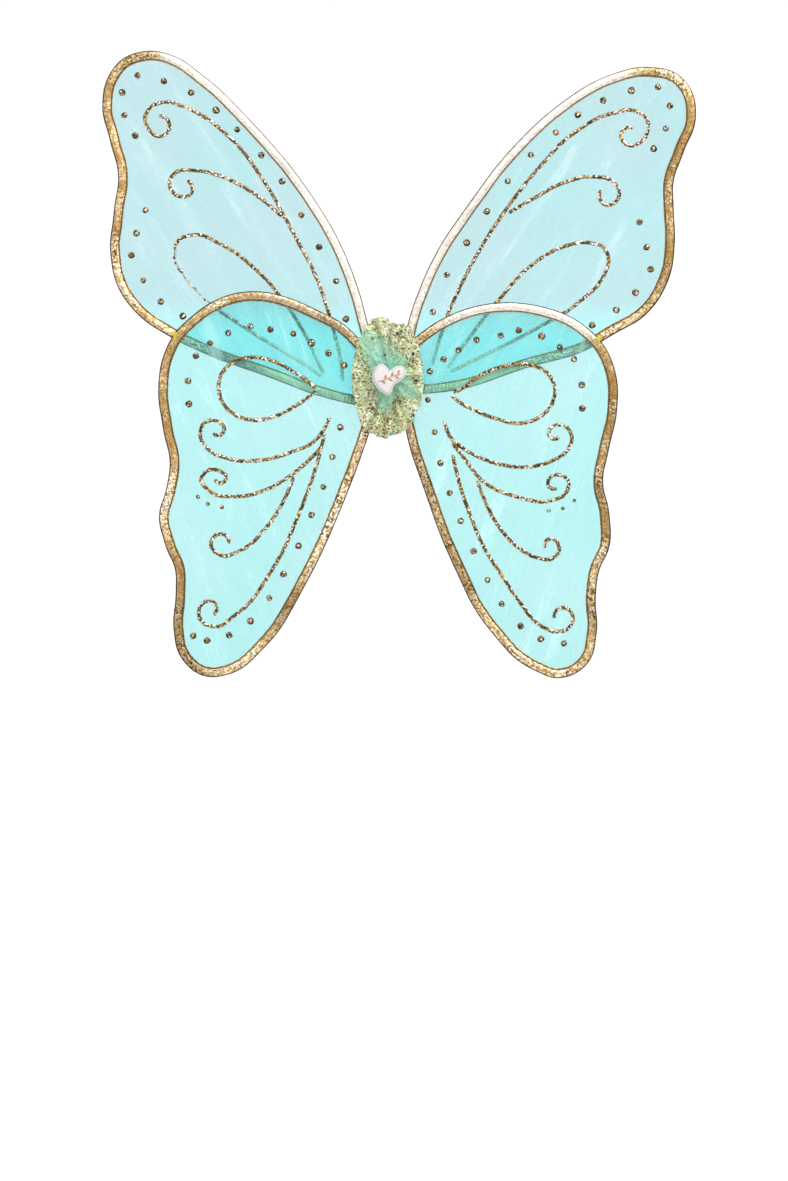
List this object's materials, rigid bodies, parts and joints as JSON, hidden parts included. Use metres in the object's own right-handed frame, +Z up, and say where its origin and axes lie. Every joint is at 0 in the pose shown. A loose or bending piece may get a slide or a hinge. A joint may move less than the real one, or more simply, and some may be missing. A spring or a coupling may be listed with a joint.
{
  "type": "costume butterfly wings",
  "caption": "Child's costume butterfly wings: sheer aqua fabric stretched on gold-bound wire frames, joined at a padded centre with a tulle rosette, a stuffed heart and elastic arm loops.",
  "frame": {"origin": "centre of the back pad's flat face, the face that rests on the wearer's back", "axes": "+Z up, +X to the right of someone looking at the wings from outside, +Y out of the pad towards the wearer's back"},
  "size_m": [0.5484, 0.1917, 0.581],
  "materials": {
    "frame_wire": "drawn steel wire",
    "gold_lame": "crinkled metallic gold lame",
    "aqua_organza": "sheer iridescent organza",
    "gold_glitter": "gold glitter set in clear glue",
    "yellow_thread": "bright sewing thread",
    "strap_elastic": "ribbed woven mint elastic",
    "white_thread": "wound cotton thread",
    "pad_cotton": "plain woven cotton",
    "pad_foam": "open polyester foam and wadding",
    "mint_felt": "pressed felt",
    "gold_tulle": "gathered glitter tulle",
    "mint_tulle": "gathered tulle with small sequins",
    "heart_cotton": "soft white cotton",
    "grey_thread": "running stitch"
  },
  "bodies": {
    "centre": {"left_strap_sewn_ends": "strap_elastic", "left_strap_bar_tacks": "white_thread", "right_strap_sewn_ends": "strap_elastic", "right_strap_bar_tacks": "white_thread", "back_pad_cover": "pad_cotton", "back_pad_foam": "pad_foam", "felt_backing": "mint_felt", "root_wrap": "white_thread", "wire_tails": "frame_wire", "rosette_gold_ruffle": "gold_tulle", "rosette_mint_ruffle": "mint_tulle", "centre_stitch": "white_thread", "heart_back_panel": "heart_cotton", "heart_front_panel": "heart_cotton", "heart_wadding": "pad_foam", "heart_edge_stitching": "grey_thread"},
    "left_wings": {"upper_left_wire": "frame_wire", "upper_left_binding": "gold_lame", "upper_left_fabric": "aqua_organza", "upper_left_glitter_scrolls": "gold_glitter", "upper_left_glitter_dots": "gold_glitter", "lower_left_wire": "frame_wire", "lower_left_binding": "gold_lame", "lower_left_fabric": "aqua_organza", "lower_left_glitter_scrolls": "gold_glitter", "lower_left_glitter_dots": "gold_glitter", "left_crossing_tack": "yellow_thread"},
    "right_wings": {"upper_right_wire": "frame_wire", "upper_right_binding": "gold_lame", "upper_right_fabric": "aqua_organza", "upper_right_glitter_scrolls": "gold_glitter", "upper_right_glitter_dots": "gold_glitter", "lower_right_wire": "frame_wire", "lower_right_binding": "gold_lame", "lower_right_fabric": "aqua_organza", "lower_right_glitter_scrolls": "gold_glitter", "lower_right_glitter_dots": "gold_glitter", "right_crossing_tack": "yellow_thread"},
    "left_strap": {"left_strap_loop": "strap_elastic"},
    "right_strap": {"right_strap_loop": "strap_elastic"}
  },
  "joints": [
    {"name": "left_wing_fold", "type": "hinge", "parent": "centre", "child": "left_wings", "pos_m": [-0.015, -0.0165, 0], "axis": [0, 0, 1], "range_deg": [-8, 70], "deforming": ["rosette_gold_ruffle", "rosette_mint_ruffle"]},
    {"name": "right_wing_fold", "type": "hinge", "parent": "centre", "child": "right_wings", "pos_m": [0.015, -0.0165, 0], "axis": [0, 0, -1], "range_deg": [-8, 70], "deforming": ["rosette_gold_ruffle", "rosette_mint_ruffle"]},
    {"name": "left_strap_swing", "type": "hinge", "parent": "centre", "child": "left_strap", "pos_m": [-0.02, 0.0008, 0], "axis": [0, 0, 1], "range_deg": [-3, 70]},
    {"name": "right_strap_swing", "type": "hinge", "parent": "centre", "child": "right_strap", "pos_m": [0.02, 0.0008, 0], "axis": [0, 0, -1], "range_deg": [-3, 70]}
  ]
}
